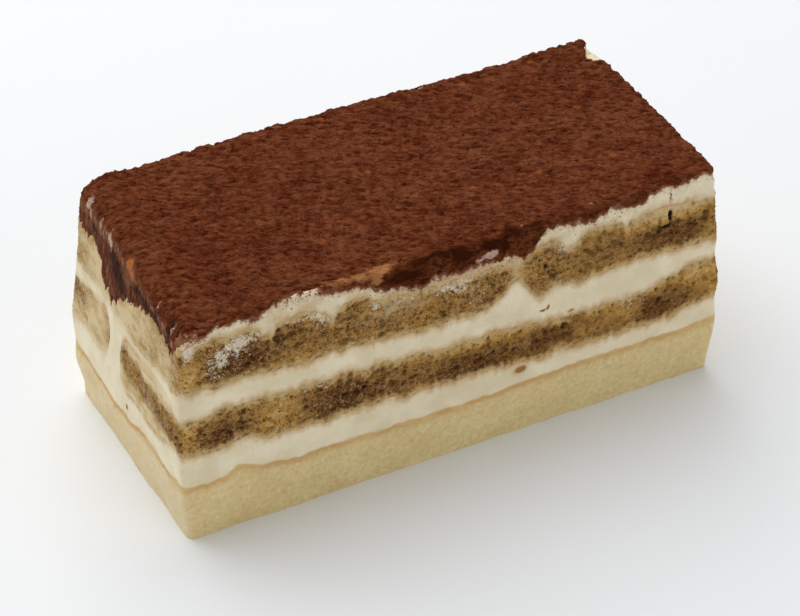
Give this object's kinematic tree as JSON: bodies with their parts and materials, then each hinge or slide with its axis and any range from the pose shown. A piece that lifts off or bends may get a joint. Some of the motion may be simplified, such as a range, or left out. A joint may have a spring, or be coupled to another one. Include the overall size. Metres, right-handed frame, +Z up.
{
  "type": "tiramisu slice",
  "caption": "Oblong slice of tiramisu: pale sponge base, mascarpone cream between layers of soaked sponge fingers, and a cocoa top that hangs over one end and part of the front.",
  "frame": {"origin": "centre of the block's footprint, on the flat underside", "axes": "+X along the length towards the end without cocoa on it, +Y from the front long side to the back, +Z up through the layers"},
  "size_m": [0.1164, 0.0534, 0.0508],
  "materials": {
    "base_sponge": "dry open crumb, matt",
    "cream": "smooth, faintly moist",
    "soaked_sponge": "damp open crumb, matt",
    "cocoa": "dry powder, matt"
  },
  "bodies": {
    "root": {"base_sponge": "base_sponge", "cream_lower": "cream", "fingers_front": "soaked_sponge", "fingers_rear": "soaked_sponge", "cream_middle": "cream", "upper_sponge_left": "soaked_sponge", "upper_sponge_right": "soaked_sponge", "cream_top": "cream", "cocoa_top": "cocoa"}
  },
  "joints": []
}
